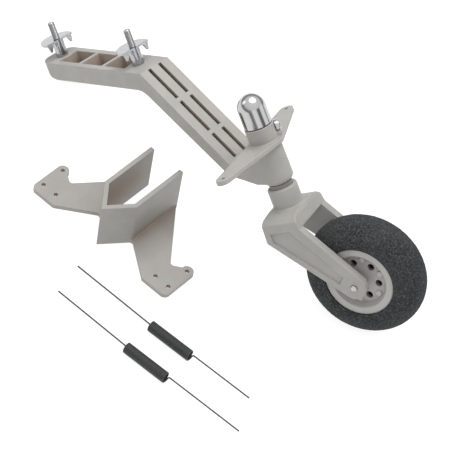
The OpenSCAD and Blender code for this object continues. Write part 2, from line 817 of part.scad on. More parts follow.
// One half of the hub, with its joint face at z = 0 and its flange outward
module hub_half(holes) {
    bore_r = axle_d / 2 + run_gap;
    difference() {
        union() {
            rotate_extrude() {
                translate([bore_r, web_in]) square([hub_rim_r + 0.2 - bore_r, hub_web_t]);
                translate([bore_r, 0]) square([hub_boss_r - bore_r, boss_out]);
                translate([hub_rim_r, 0]) square([hub_seat_r - hub_rim_r, flange_out - 0.5]);
                polygon([[hub_rim_r - 1.2, web_out - 0.5], [hub_rim_r - 1.2, web_out],
                    [hub_rim_r, flange_out - 0.5], [hub_rim_r + 0.3, flange_out - 0.5],
                    [hub_rim_r + 0.3, web_out - 0.5]]);
                translate([hub_rim_r + 0.5, flange_in]) {
                    square([hub_flange_r - hub_rim_r - 1, hub_flange_t]);
                    square([hub_flange_r - hub_rim_r - 0.5, hub_flange_t - 0.5]);
                }
                for (r = [hub_rim_r + 0.5, hub_flange_r - 0.5])
                    translate([r, flange_out - 0.5]) circle(0.5);
            }
            hub_pin_places() cylinder(h = web_in + 0.5, r = hub_pin_d / 2 + 0.8);
        }
        for (k = [0:holes - 1])
            rotate(k * 360 / hub_count)
                translate([hub_hole_ring, 0, -1]) cylinder(h = flange_out, r = hub_hole_d / 2);
        hub_pin_places() translate([0, 0, -1]) cylinder(h = flange_out, r = hub_pin_d / 2 + fixed_gap);
    }
}

module hub_pin_places() {
    for (k = [0:hub_count - 1])
        rotate((k + 0.5) * 360 / hub_count)
            translate([hub_pin_ring, 0, 0]) children();
}

module hub_half_near() {
    color([0.74, 0.73, 0.71])
        at_axle() rotate(hub_turn) hub_half(hub_count);
}

module hub_half_far() {
    color([0.74, 0.73, 0.71])
        at_axle() rotate(hub_turn) mirror([0, 0, 1]) hub_half(0);
}

module hub_pins() {
    color([0.80, 0.80, 0.81])
        at_axle()
            rotate(hub_turn)
                hub_pin_places() {
                    cylinder(h = 2 * web_out + 0.6, r = hub_pin_d / 2, center = true);
                    for (s = [0, 1])
                        mirror([0, 0, s])
                            translate([0, 0, web_out + fixed_gap]) cylinder(h = 0.6, r = hub_pin_head_d / 2);
                }
}

module tyre() {
    color([0.20, 0.21, 0.22])
        at_axle()
            rotate_extrude()
                difference() {
                    union() {
                        translate([ring_r, 0]) circle(tube_r);
                        translate([hub_seat_r + fixed_gap, -flange_in + fixed_gap])
                            square([ring_r - hub_seat_r, 2 * (flange_in - fixed_gap)]);
                    }
                    translate([0, -tyre_w]) square([hub_seat_r + fixed_gap, 2 * tyre_w]);
                    for (s = [0, 1])
                        mirror([0, s])
                            translate([0, flange_in - fixed_gap])
                                square([hub_flange_r + fixed_gap, tyre_w]);
                }
}

wing_holes = [[wing_hole_in, -wing_hole_front], [wing_hole_out, -wing_hole_front],
    [wing_hole_out, wing_hole_back]];

module wing_outline() {
    inside = channel_half - channel_wall / 2;
    tip = [wing_hole_out, wing_lobe_r - wing_front];
    hook = [wing_hole_out, wing_hole_back];
    notch = [wing_hole_in + 0.3, wing_hole_back - wing_lobe_r];
    root = [inside, 1.2];
    corner = [wing_corner, skim - wing_front];
    back = [channel_half, channel_len - 0.5];
    nose = meet([0, -nose_len], [channel_half, nose_len], root, corner - root);
    link(tip, wing_lobe_r, hook, wing_lobe_r);
    polygon([root, corner, tip - [0, wing_lobe_r - skim], hook, hook - [wing_lobe_r, 0], notch, back,
        [inside, channel_len - 0.5]]);
    corner_fill(notch, hook - [wing_lobe_r, 0], back, wing_fillet);
    corner_fill(nose, [0, -nose_len], corner, wing_fillet);
}

module channel_outline(wall) {
    slant = wall * (norm([channel_half, nose_len]) / channel_half);
    side = channel_half - wall;
    bite = nose_len * side / channel_half - nose_len;
    polygon([[0, -nose_len], [channel_half, 0], [channel_half, channel_len], [side, channel_len],
        [side, bite + slant], [0, slant - nose_len], [-side, bite + slant], [-side, channel_len],
        [-channel_half, channel_len], [-channel_half, 0]]);
}

module rudder_bracket() {
    color([0.69, 0.66, 0.62])
        translate([front_bolt_x + bracket_x, front_bolt_y + bracket_y, 0])
            rotate(bracket_turn)
                difference() {
                    union() {
                        linear_extrude(channel_h) channel_outline(channel_wall);
                        for (s = [0, 1])
                            mirror([s, 0, 0]) linear_extrude(wing_t) wing_outline();
                    }
                    for (s = [-1, 1], p = wing_holes)
                        translate([s * p[0], p[1], -1]) cylinder(h = wing_t + 2, r = wing_hole_d / 2);
                }
}

// A close-wound coil along X with a straight leg at each end
module steering_spring(left, right) {
    mean_r = (coil_d - wire_d) / 2;
    leg_r = mean_r + wire_d / 8;
    lead = wire_d - coil_bite;
    turns = floor((coil_len - wire_d) / lead);
    translate([0, 0, coil_d / 2])
        rotate([0, 90, 0]) {
            rotate_extrude()
                for (k = [0:turns])
                    translate([mean_r, (k - turns / 2) * lead]) circle(wire_d / 2);
            translate([-leg_r * sin(clock_right), leg_r * cos(clock_right), turns * lead / 2])
                cylinder(h = right, r = wire_d / 2, $fn = 24);
            translate([-leg_r * sin(clock_left), leg_r * cos(clock_left), -turns * lead / 2])
                rotate([leg_splay, 0, 0])
                    translate([0, 0, -left]) cylinder(h = left, r = wire_d / 2, $fn = 24);
        }
}

module upper_spring() {
    color([0.16, 0.16, 0.17])
        translate([front_bolt_x + upper_spring_x, front_bolt_y + upper_spring_y, 0])
            rotate(spring_turn) steering_spring(upper_leg_left, upper_leg_right);
}

module lower_spring() {
    color([0.16, 0.16, 0.17])
        translate([front_bolt_x + lower_spring_x, front_bolt_y + lower_spring_y, 0])
            rotate(spring_turn) steering_spring(lower_leg_left, lower_leg_right);
}

mount_arm();
upper_bush();
lower_bush();
mount_bolts();
bolt_washers();
blind_nuts();
strut_shaft();
lower_thrust_washer();
upper_thrust_washer();
tiller_arm();
tiller_clamp_screw();
dome_cap();
fork();
axle_pin();
hub_half_near();
hub_half_far();
hub_pins();
tyre();
rudder_bracket();
upper_spring();
lower_spring();
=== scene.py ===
import json
import math

import bpy
import numpy as np
from mathutils import Matrix


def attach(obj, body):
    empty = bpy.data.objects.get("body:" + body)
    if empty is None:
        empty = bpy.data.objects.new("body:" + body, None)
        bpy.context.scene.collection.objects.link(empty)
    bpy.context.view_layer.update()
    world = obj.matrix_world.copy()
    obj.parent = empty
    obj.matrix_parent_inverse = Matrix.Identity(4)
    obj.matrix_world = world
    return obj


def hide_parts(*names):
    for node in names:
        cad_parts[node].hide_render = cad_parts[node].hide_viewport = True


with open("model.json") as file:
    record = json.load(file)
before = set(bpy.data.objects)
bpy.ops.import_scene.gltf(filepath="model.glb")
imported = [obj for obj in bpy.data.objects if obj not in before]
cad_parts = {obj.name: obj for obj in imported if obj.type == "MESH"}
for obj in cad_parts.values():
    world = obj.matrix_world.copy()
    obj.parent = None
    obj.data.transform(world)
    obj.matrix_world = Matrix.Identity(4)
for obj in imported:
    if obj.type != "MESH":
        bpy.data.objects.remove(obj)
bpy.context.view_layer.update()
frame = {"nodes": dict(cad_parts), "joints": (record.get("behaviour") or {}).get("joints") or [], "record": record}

nodes = frame["nodes"]

# Mount arm, tiller and fork
# Three mouldings in grey nylon. The pad, the sloped arm and the swivel barrel are one piece,
# with a satin skin, faint flow marks, edges that the mould leaves slightly round and that a
# painted highlight makes paler, and painted shade, darker and browner, in pockets and slots.


class Tone:
    """A shader socket that takes part in sums: each sum of values adds one Math node."""

    def __init__(self, tree, socket=None):
        self.tree = tree
        self.socket = socket

    def node(self, kind, sockets=(), out=0, **settings):
        """Adds a node: its settings first, then the values or links of its sockets."""
        made = self.tree.nodes.new("ShaderNode" + kind)
        stops = settings.pop("stops", None)
        for key, value in settings.items():
            setattr(made, key, value)
        if stops:
            for spare in list(made.color_ramp.elements)[1:]:
                made.color_ramp.elements.remove(spare)
            made.color_ramp.elements[0].position = stops[0][0]
            made.color_ramp.elements[0].color = stops[0][1]
            for position, colour in stops[1:]:
                made.color_ramp.elements.new(position).color = colour
        self.feed(made, dict(sockets))
        return Tone(self.tree, made.outputs[out])

    def feed(self, target, sockets):
        """Links each tone, or writes each plain value, to the named socket of a node."""
        for key, value in sockets.items():
            if isinstance(value, Tone):
                self.tree.links.new(value.socket, target.inputs[key])
            else:
                target.inputs[key].default_value = value

    def maths(self, operation, a, b):
        """One Math node on two values."""
        return self.node("Math", {0: a, 1: b}, operation=operation)

    def between(self, low, high):
        """Colour that goes from low to high as this value goes from 0 to 1."""
        return self.node("Mix", {0: self, 6: low, 7: high}, out=2, data_type="RGBA")

    def above(self, low, high):
        """0 below low, 1 above high and a smooth step between them."""
        ends = {0: self, 1: low, 2: high}
        return self.node("MapRange", ends, interpolation_type="SMOOTHSTEP")

    def __add__(self, other):
        return self.maths("ADD", self, other)

    def __radd__(self, other):
        return self.maths("ADD", other, self)

    def __sub__(self, other):
        return self.maths("SUBTRACT", self, other)

    def __rsub__(self, other):
        return self.maths("SUBTRACT", other, self)

    def __mul__(self, other):
        return self.maths("MULTIPLY", self, other)


def new_finish(name):
    """A new material, its shader, and a tone of the piece's own coordinates."""
    material = bpy.data.materials.new(name)
    material.use_nodes = True
    shader = material.node_tree.nodes["Principled BSDF"]
    place = Tone(material.node_tree).node("TexCoord", out="Object")
    return material, shader, place


def noise(place, size, detail=2.0, roughness=0.5):
    """Noise whose blotches are about size metres across."""
    sockets = {"Vector": place, "Scale": 1 / size, "Detail": detail, "Roughness": roughness}
    return place.node("TexNoise", sockets)


def rgb(red, green, blue, by=1.0):
    """A linear colour, made brighter or darker by a factor."""
    return (red * by, green * by, blue * by, 1.0)


def rounded_edge(place, radius):
    """Normal that is rounded over radius at edges, and 1 where that turns it off the flat one."""
    rounded = place.node("Bevel", {"Radius": radius}, samples=8)
    flat = place.node("NewGeometry", out="Normal")
    both = {0: rounded, 1: flat}
    turned_by = place.node("VectorMath", both, out="Value", operation="DOT_PRODUCT")
    return rounded, (1 - turned_by).above(0.01, 0.2)


def moulded_nylon(name, colour, painted_shade_colour, depth=0.007, edge_round=0.0004, darkest_painted_shade=0.35):
    """Satin nylon: soft flow marks in the colour, a fine skin, rounded edges painted paler as a
    highlight, and painted shade, deeper and browner, in pockets and slots that occlusion finds."""
    material, shader, place = new_finish(name)
    flow = noise(place, 0.009, 4.0, 0.6)
    skin = noise(place, 0.0005, 3.0, 0.6)
    rounded, edge = rounded_edge(place, edge_round)
    reach = {"Distance": depth}
    open_sky = place.node("AmbientOcclusion", reach, out="AO", samples=12, only_local=True)
    body = flow.above(0.3, 0.7).between(rgb(*colour, 0.95), rgb(*colour, 1.05))
    # Painted shade: pockets, slots and corners found by occlusion take a browner, darker colour.
    painted_shade = open_sky.above(0.15, 0.85).between(rgb(*painted_shade_colour), body)
    painted_deep_shade = open_sky.above(0.05, 0.35).between(rgb(*colour, darkest_painted_shade), painted_shade)
    # Painted highlight: rounded edges are painted paler than the faces.
    painted_edge_highlight = (edge * 0.85).between(painted_deep_shade, rgb(*colour, 1.38))
    height = skin * 0.6 + flow * 0.8
    relief = {"Strength": 0.22, "Distance": 0.00015, "Height": height, "Normal": rounded}
    place.feed(shader, {
        "Base Color": painted_edge_highlight,
        "Roughness": 0.40 + skin * 0.16 + flow * 0.08,
        "Normal": place.node("Bump", relief),
        "IOR": 1.5,
        "Specular IOR Level": 0.42,
    })
    return material


def dress(node, material):
    """Gives a CAD node its finish in every slot."""
    for slot in nodes[node].material_slots:
        slot.material = material


nylon_colour = (0.323, 0.314, 0.294)
# The second colour of each nylon is the painted shade of its pockets, slots and corners.
pocket_painted_shade, corner_shade = (0.39, 0.30, 0.235), (0.20, 0.18, 0.165)
arm_nylon = moulded_nylon("arm_nylon", nylon_colour, pocket_painted_shade, depth=0.012, edge_round=0.0006)
dress("mount_arm", arm_nylon)
grey_nylon = moulded_nylon("grey_nylon", nylon_colour, corner_shade, edge_round=0.0007)
for moulding in ("tiller_arm", "fork"):
    dress(moulding, grey_nylon)

# Mounting bolts
# Two M3 pan-head screws in bright zinc, pushed up through the pad from below, with a rolled
# thread along the shank and a cross recess in the head.


def frame_on(axis, side=(0.0, 1.0, 0.0)):
    """Rows of a right-handed frame whose third row is axis and whose second leans to side."""
    up = np.array(axis, float) / np.linalg.norm(axis)
    across = np.array(side, float) - up * np.dot(side, up)
    across /= np.linalg.norm(across)
    return np.stack([np.cross(across, up), across, up])


def skin_mesh(name, rings, closed=False, sharp=35.0):
    """Joins each ring of points to the next. Closed joins the last ring to the first;
    otherwise a point at the middle of each end ring closes that end."""
    count, around = rings.shape[:2]
    index = np.arange(count * around).reshape(count, around)
    beside = np.roll(index, -1, axis=1)
    ahead, ahead_beside = np.roll(index, -1, axis=0), np.roll(beside, -1, axis=0)
    last = count if closed else count - 1
    quads = np.stack([index, beside, ahead_beside, ahead], axis=-1)[:last].reshape(-1, 4)
    points, faces = rings.reshape(-1, 3), quads.tolist()
    if not closed:
        ends = rings[[0, -1]].mean(axis=1)
        points = np.concatenate([points, ends])
        pole = np.full(around, count * around)
        faces += np.stack([beside[0], index[0], pole], axis=-1).tolist()
        faces += np.stack([index[-1], beside[-1], pole + 1], axis=-1).tolist()
    mesh = bpy.data.meshes.new(name)
    mesh.from_pydata(points.tolist(), [], faces)
    mesh.polygons.foreach_set("use_smooth", np.ones(len(mesh.polygons), bool))
    mesh.set_sharp_from_angle(angle=math.radians(sharp))
    return mesh


def joined(name, meshes, material):
    """One object of several meshes, in the part's frame, with one finish."""
    parts = []
    for mesh in meshes:
        mesh.materials.append(material)
        part = bpy.data.objects.new(name, mesh)
        bpy.context.scene.collection.objects.link(part)
        parts.append(part)
    if len(parts) > 1:
        with bpy.context.temp_override(active_object=parts[0], selected_editable_objects=parts):
            bpy.ops.object.join()
    return parts[0]


def zinc_plate(name, colour, grain, rough, painted_dark_edge_width=0.0):
    """Bright zinc: fine crystal mottling in the colour and the gloss, with tiny dents. Edges are
    painted darker, a painted dark reflection, over a width in metres given by the last argument."""
    material, shader, place = new_finish(name)
    crystal = place.node("TexVoronoi", {"Vector": place, "Scale": 1 / grain}, out="Distance")
    cloud = noise(place, grain * 3, 3.0, 0.6)
    shade = (crystal * 0.7 + cloud * 0.5).above(0.2, 0.9)
    relief = {"Strength": 0.25, "Distance": 0.00006, "Height": crystal + cloud}
    _, edge = rounded_edge(place, painted_dark_edge_width)
    face = shade.between(rgb(*colour, 0.72), rgb(*colour, 1.0))
    place.feed(shader, {
        # Painted dark reflection: edges are painted darker than the face.
        "Base Color": (edge * 0.8).between(face, rgb(*colour, 0.3)),
        "Metallic": 1.0,
        "Roughness": rough + cloud * 0.18,
        "Normal": place.node("Bump", relief),
    })
    return material


def screw_rings(shank, length, pitch, head, head_height, lead=0.0004):
    """Rings of a cross-recessed pan-head screw, from its head below z = 0 up to its tip at
    z = length. They are worked out from the tip down and then put the other way round. The
    radius follows a triangle wave in height less turn, so the crests climb one pitch a turn.
    The recess is a ring that swells towards the four arms of a cross."""
    around, rows_per_pitch = 48, 10
    thread_depth, blunt = 0.32 * pitch, 0.72
    core, arm = 0.16, 0.40
    turn = np.linspace(0, 2 * np.pi, around, endpoint=False)
    steps = int(length / pitch * rows_per_pitch)
    height = np.linspace(length, 0, steps)[:, None]
    wave = np.abs(((height / pitch - turn / (2 * np.pi)) % 1) * 2 - 1)
    tip = np.clip((length - height) / lead, 0, 1)
    radius = np.minimum(shank - thread_depth * wave, shank * (blunt + (1 - blunt) * tip))
    bend = np.linspace(0, np.pi / 2, 9)[:, None]
    soft = head_height * 0.45
    crown = head - soft + soft * np.cos(bend)
    cross = head * (core + arm * np.abs(np.cos(2 * turn)) ** 5)
    flat = np.ones_like(turn)
    rows = [(r, h * flat) for r, h in zip(radius, height[:, 0])]
    rows += [(head * 0.9 * flat, 0 * flat), (head * flat, -head_height * 0.04 * flat)]
    drop = head_height - soft + soft * np.sin(bend)[:, 0]
    rows += [(c * flat, -d * flat) for c, d in zip(crown[:, 0], drop)]
    recess = ((1.0, 1.0, 0.08), (0.95, 0.93, 0.0), (0.72, 0.4, 0.0), (0.3, 0.3, 0.0))
    rows += [(cross * k + head * lip, -head_height * d * flat) for k, d, lip in recess]
    r = np.stack([row[0] for row in rows])
    z = np.stack([row[1] for row in rows])
    return np.stack([r * np.cos(turn), r * np.sin(turn), z], axis=-1)[::-1]


def points_of(node):
    """The corner points of a CAD node."""
    mesh = nodes[node].data
    points = np.empty(len(mesh.vertices) * 3)
    mesh.vertices.foreach_get("co", points)
    return points.reshape(-1, 3)


def heights_on(node, origin, axis):
    """Lowest and highest place of a CAD node along an axis, and its reach from that axis."""
    local = (points_of(node) - origin) @ frame_on(axis).T
    return local[:, 2].min(), local[:, 2].max(), np.hypot(local[:, 0], local[:, 1]).max()


bright_zinc = zinc_plate("bright_zinc", (0.36, 0.36, 0.355), 0.0006, 0.15)
mounts = {mount["name"]: mount for mount in frame["record"]["mounts"]}
studs = mounts["mount_studs"]
stud_axes = frame_on(studs["axis"])
stud_pitch = studs["dims"]["pcd_mm"] / 1000
bolt_radius = studs["dims"]["stud_r_mm"] / 1000
bolt_head, bolt_head_height = 0.0028, 0.0022
bolt_thread = 0.0005
bolt_low, bolt_high, _ = heights_on("mount_bolts", np.array(studs["pos_m"]), studs["axis"])
bolts = []
for side in (-1, 1):
    foot = np.array(studs["pos_m"]) + stud_axes[0] * side * stud_pitch / 2
    seat = foot + stud_axes[2] * (bolt_low + bolt_head_height)
    length = bolt_high - bolt_low - bolt_head_height
    rings = screw_rings(bolt_radius, length, bolt_thread, bolt_head, bolt_head_height)
    bolts.append(skin_mesh("mount_bolts_threaded", rings @ stud_axes + seat))
threaded_bolts = joined("mount_bolts_threaded", bolts, bright_zinc)
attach(threaded_bolts, "mount")
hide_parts("mount_bolts")
dress("bolt_washers", bright_zinc)

# Blind nuts
# Pressed steel nuts, turned onto the bolts: a barrel and a disc flange, with two prongs folded
# down from the flange's one straight edge. The zinc's edges are painted darker, a painted dark reflection.

stamped_zinc = zinc_plate("stamped_zinc", (0.47, 0.48, 0.495), 0.0009, 0.14, 0.0003)
dress("blind_nuts", stamped_zinc)

# Shaft, bushes and thrust washers
# A ground steel shaft turns in two sintered bronze bushes pressed into the barrel, between
# two grey acetal washers. Little of it shows but the lower washer, in the gap under the barrel.


def ground_steel(name):
    """Ground steel: fine streaks along the piece in the colour and the gloss."""
    material, shader, place = new_finish(name)
    streak = noise(place, 0.0004, 4.0, 0.7)
    place.feed(shader, {
        "Base Color": streak.between(rgb(0.46, 0.46, 0.47), rgb(0.62, 0.62, 0.63)),
        "Metallic": 1.0,
        "Roughness": 0.24 + streak * 0.14,
        "Normal": place.node("Bump", {"Strength": 0.1, "Distance": 0.00005, "Height": streak}),
    })
    return material


def sintered_bronze(name):
    """Sintered bronze: open pores, darker and rougher than the metal between them."""
    material, shader, place = new_finish(name)
    pores_per_metre = 2600.0
    grain = {"Vector": place, "Scale": pores_per_metre}
    pores = place.node("TexVoronoi", grain, out="Distance")
    metal = pores.above(0.15, 0.5)
    place.feed(shader, {
        "Base Color": metal.between(rgb(0.22, 0.13, 0.06), rgb(0.58, 0.39, 0.20)),
        "Metallic": 1.0,
        "Roughness": 0.62 - metal * 0.22,
        "Normal": place.node("Bump", {"Strength": 0.3, "Distance": 0.00008, "Height": metal}),
    })
    return material


def grey_acetal(name):
    """Grey acetal: mid grey with a waxy, slightly uneven sheen."""
    material, shader, place = new_finish(name)
    cloud = noise(place, 0.002, 3.0, 0.6)
    place.feed(shader, {
        "Base Color": cloud.between(rgb(0.17, 0.16, 0.145), rgb(0.22, 0.21, 0.19)),
        "Roughness": 0.42 + cloud * 0.2,
        "Normal": place.node("Bump", {"Strength": 0.12, "Distance": 0.0001, "Height": cloud}),
    })
    return material


dress("strut_shaft", ground_steel("ground_steel"))
bronze = sintered_bronze("sintered_bronze")
acetal = grey_acetal("grey_acetal")
for bush in ("upper_bush", "lower_bush"):
    dress(bush, bronze)
for washer in ("upper_thrust_washer", "lower_thrust_washer"):
    dress(washer, acetal)

# Tiller clamp screw
# A short zinc pan-head screw in the side of the tiller's hub. Its tip bears on the shaft, so the
# tiller turns with the fork. It and the axle pin are brighter than the bolts.

joints = {joint["name"]: joint for joint in frame["joints"]}
swivel = np.array(joints["steer"]["pos_m"])
swivel_axes = frame_on(joints["steer"]["axis"])
screw_middle = points_of("tiller_clamp_screw").mean(axis=0)
screw_height = (screw_middle - swivel) @ swivel_axes[2]
screw_root = swivel + swivel_axes[2] * screw_height
screw_out = (screw_middle - screw_root) / np.linalg.norm(screw_middle - screw_root)
screw_low, screw_high, screw_head = heights_on("tiller_clamp_screw", screw_root, screw_out)
screw_radius, screw_thread, screw_head_height = 0.00125, 0.00045, 0.0022
new_zinc = zinc_plate("new_zinc", (0.50, 0.50, 0.49), 0.0006, 0.10)
screw_axes = frame_on(-screw_out, swivel_axes[2])
screw_seat = screw_root + screw_out * (screw_high - screw_head_height)
screw_length = screw_high - screw_head_height - screw_low
rings = screw_rings(screw_radius, screw_length, screw_thread, screw_head, screw_head_height)
screw_skin = skin_mesh("clamp_screw", rings @ screw_axes + screw_seat)
clamp_screw = joined("tiller_clamp_screw_threaded", [screw_skin], new_zinc)
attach(clamp_screw, "steering")
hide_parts("tiller_clamp_screw")

# Dome cap
# A turned and chromed steel cap on the shaft's end: a straight skirt under a half ball, with
# a small broken edge at the foot.


def polished_chrome(name):
    """Chrome: mirror plate with a faint haze that breaks up its reflections."""
    material, shader, place = new_finish(name)
    haze = noise(place, 0.0016, 4.0, 0.6)
    place.feed(shader, {
        "Base Color": haze.between(rgb(0.43, 0.43, 0.435), rgb(0.51, 0.51, 0.515)),
        "Metallic": 1.0,
        "Roughness": 0.09 + haze * 0.10,
        "Normal": place.node("Bump", {"Strength": 0.04, "Distance": 0.0001, "Height": haze}),
    })
    return material


def turned_rings(radius, height, around=96):
    """Rings of a turned piece from its profile of radius against height."""
    turn = np.linspace(0, 2 * np.pi, around, endpoint=False)
    radius, height = np.asarray(radius)[:, None], np.asarray(height)[:, None]
    return np.stack([radius * np.cos(turn), radius * np.sin(turn), height + 0 * turn], axis=-1)


dome_low, dome_high, dome_radius = heights_on("dome_cap", swivel, swivel_axes[2])
broken_edge, bore = 0.0006, 0.0021
skirt_rows, ball_rows, near_pole = 12, 40, 0.98
bend = np.linspace(0, np.pi / 2 * near_pole, ball_rows)[1:]
skirt_top = dome_high - dome_radius
skirt = np.linspace(dome_low + broken_edge, skirt_top, skirt_rows)
foot_radius, foot_height = [bore, dome_radius - broken_edge], [dome_low, dome_low]
wall_radius = np.full(skirt_rows, dome_radius)
dome_profile = np.concatenate([foot_radius, wall_radius, dome_radius * np.cos(bend)])
dome_rise = np.concatenate([foot_height, skirt, skirt_top + dome_radius * np.sin(bend)])
rings = turned_rings(dome_profile, dome_rise)
dome_skin = skin_mesh("dome_cap", rings @ swivel_axes + swivel)
dome = joined("dome_cap_chromed", [dome_skin], polished_chrome("polished_chrome"))
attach(dome, "steering")
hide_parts("dome_cap")

# Wheel hub, its pins and the axle
# Two moulded hub halves in a slightly paler nylon, held together by six small whitish nylon
# pins between the lightening holes, on a plain bright axle pin.

# The second colour of each nylon is the painted shade of its holes and recesses.
hub_colour, hub_shade = (0.39, 0.38, 0.36), (0.19, 0.17, 0.15)
pale_nylon = moulded_nylon("pale_nylon", hub_colour, hub_shade, edge_round=0.0003, darkest_painted_shade=0.55)
for half in ("hub_half_near", "hub_half_far"):
    dress(half, pale_nylon)
pin_colour, pin_shade = (0.45, 0.445, 0.43), (0.30, 0.28, 0.25)
white_nylon = moulded_nylon("white_nylon", pin_colour, pin_shade, edge_round=0.0002)
dress("hub_pins", white_nylon)
dress("axle_pin", new_zinc)

# Tyre
# A closed-cell foam ring stretched over the hub. The cut foam shows its cells as fine pits
# and paler specks, which are painted glints, and has no tread.


def foam_rubber(name):
    """Foam: charcoal with pale specks, painted glints where cell walls would catch the light, and dark open pits.
    """
    material, shader, place = new_finish(name)
    cells_per_metre = 1100.0
    grain = {"Vector": place, "Scale": cells_per_metre}
    cells = place.node("TexVoronoi", grain, out="Distance")
    glint_and_grain = noise(place, 0.0007, 4.0, 0.75)
    patch = noise(place, 0.011, 3.0, 0.6)
    painted_glint = glint_and_grain.above(0.50, 0.72)
    wall = cells.above(0.25, 0.75)
    base = patch.above(0.3, 0.7).between(rgb(0.015, 0.017, 0.017), rgb(0.028, 0.031, 0.031))
    walled = (wall * 0.45).between(base, rgb(0.060, 0.065, 0.067))
    place.feed(shader, {
        # Painted glints: pale specks from the noise stand in for light caught by cell walls.
        "Base Color": (painted_glint * 0.6).between(walled, rgb(0.17, 0.175, 0.178)),
        "Roughness": 0.86 + glint_and_grain * 0.12,
        "Specular IOR Level": 0.25,
        "Normal": place.node("Bump", {"Strength": 0.6, "Distance": 0.00025, "Height": wall + glint_and_grain}),
    })
    return material


def foam_pits(rows, columns, seed, cell):
    """Height of the pits on a closed grid: seeded noise, smoothed over about cell points."""
    rough = np.random.default_rng(seed).normal(size=(rows, columns))
    for axis in (0, 1):
        rough = sum(np.roll(rough, k, axis=axis) for k in range(-cell, cell + 1))
    return rough / np.abs(rough).max()


wheel = np.array(joints["wheel_spin"]["pos_m"])
wheel_axes = frame_on(joints["wheel_spin"]["axis"], (0.0, 0.0, 1.0))
tyre_low, tyre_high, tyre_radius = heights_on("tyre", wheel, wheel_axes[2])
tube_radius = (tyre_high - tyre_low) / 2
tube_ring = tyre_radius - tube_radius
flange_radius, flange_inner, seat_radius = 0.01473, 0.00627, 0.01243
sidewall = math.acos((flange_radius - tube_ring) / tube_radius)
arc_rows, lip_rows, around = 132, 5, 480
arc = np.linspace(-sidewall, sidewall, arc_rows)
lip = np.linspace(0, 1, lip_rows + 1)[1:]
tread_radius = tube_ring + tube_radius * np.cos(arc)
tread_height = tube_radius * np.sin(arc)
drop = tread_height[-1] + (flange_inner - tread_height[-1]) * lip
ledge = flange_radius + (seat_radius - flange_radius) * lip
seat_run = flange_inner * (1 - 2 * lip)
under_run = seat_radius + (flange_radius - seat_radius) * lip
rise = -flange_inner + (tread_height[0] + flange_inner) * lip[:-1]
on_flange, on_seat = np.full(lip_rows, flange_radius), np.full(lip_rows, seat_radius)
beside = np.full(lip_rows, flange_inner)
loop_radius = np.concatenate([tread_radius, on_flange, ledge, on_seat, under_run, on_flange[1:]])
loop_height = np.concatenate([tread_height, drop, beside, seat_run, -beside, rise])
pit_depth, coarse_share, sunk = 0.00011, 0.6, 0.6
rows = len(loop_radius)
fine_pits = foam_pits(rows, around, seed=7, cell=1)
pits = fine_pits + coarse_share * foam_pits(rows, around, seed=11, cell=3)
row = np.arange(rows)
depth = pit_depth * ((row > 1) & (row < arc_rows - 2))
turn = np.linspace(0, 2 * np.pi, around, endpoint=False)
bulge = (pits - sunk) * depth[:, None]
lean = np.zeros(rows)
lean[:arc_rows] = arc
radius = loop_radius[:, None] + bulge * np.cos(lean)[:, None]
height = loop_height[:, None] + bulge * np.sin(lean)[:, None]
rings = np.stack([radius * np.cos(turn), radius * np.sin(turn), height], axis=-1)
tyre_skin = skin_mesh("tyre_foam", rings @ wheel_axes + wheel, closed=True, sharp=60)
tyre = joined("tyre_foam", [tyre_skin], foam_rubber("foam_rubber"))
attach(tyre, "wheel")
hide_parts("tyre")

# Rudder bracket
# A nylon channel with a pointed nose that straddles the rudder, and a wing with three spring
# holes at each side of its foot. This moulding is a little warmer in colour than the arm, and
# its channel takes a brown painted shade over a wide reach.

bracket_colour, bracket_painted_shade = (0.290, 0.280, 0.262), (0.28, 0.20, 0.14)
warm_nylon = moulded_nylon("warm_nylon", bracket_colour, bracket_painted_shade, depth=0.02, darkest_painted_shade=0.9)
dress("rudder_bracket", warm_nylon)

# Steering springs
# Two black springs of close-wound wire. At each end the wire turns out of the last coil into
# a long straight leg, ready to be cut and hooked.


def black_wire(name):
    """Oil-blacked wire: dark, half-gloss, with thin worn streaks."""
    material, shader, place = new_finish(name)
    streak = noise(place, 0.0012, 4.0, 0.7)
    worn = streak.above(0.6, 0.8)
    place.feed(shader, {
        "Base Color": worn.between(rgb(0.058, 0.059, 0.061), rgb(0.16, 0.162, 0.166)),
        "Metallic": 0.5,
        "Roughness": 0.46 - worn * 0.14,
        "Normal": place.node("Bump", {"Strength": 0.15, "Distance": 0.00005, "Height": streak}),
    })
    return material


def wire_rings(path, outward, radius, sides=10):
    """Rings of a round wire along path; outward points from the coil's axis at each point."""
    along = np.gradient(path, axis=0)
    along /= np.linalg.norm(along, axis=1)[:, None]
    out = outward - along * (outward * along).sum(axis=1)[:, None]
    out /= np.linalg.norm(out, axis=1)[:, None]
    beside = np.cross(along, out)
    turn = np.linspace(0, 2 * np.pi, sides, endpoint=False)[None, :, None]
    return path[:, None] + radius * (np.cos(turn) * out[:, None] + np.sin(turn) * beside[:, None])


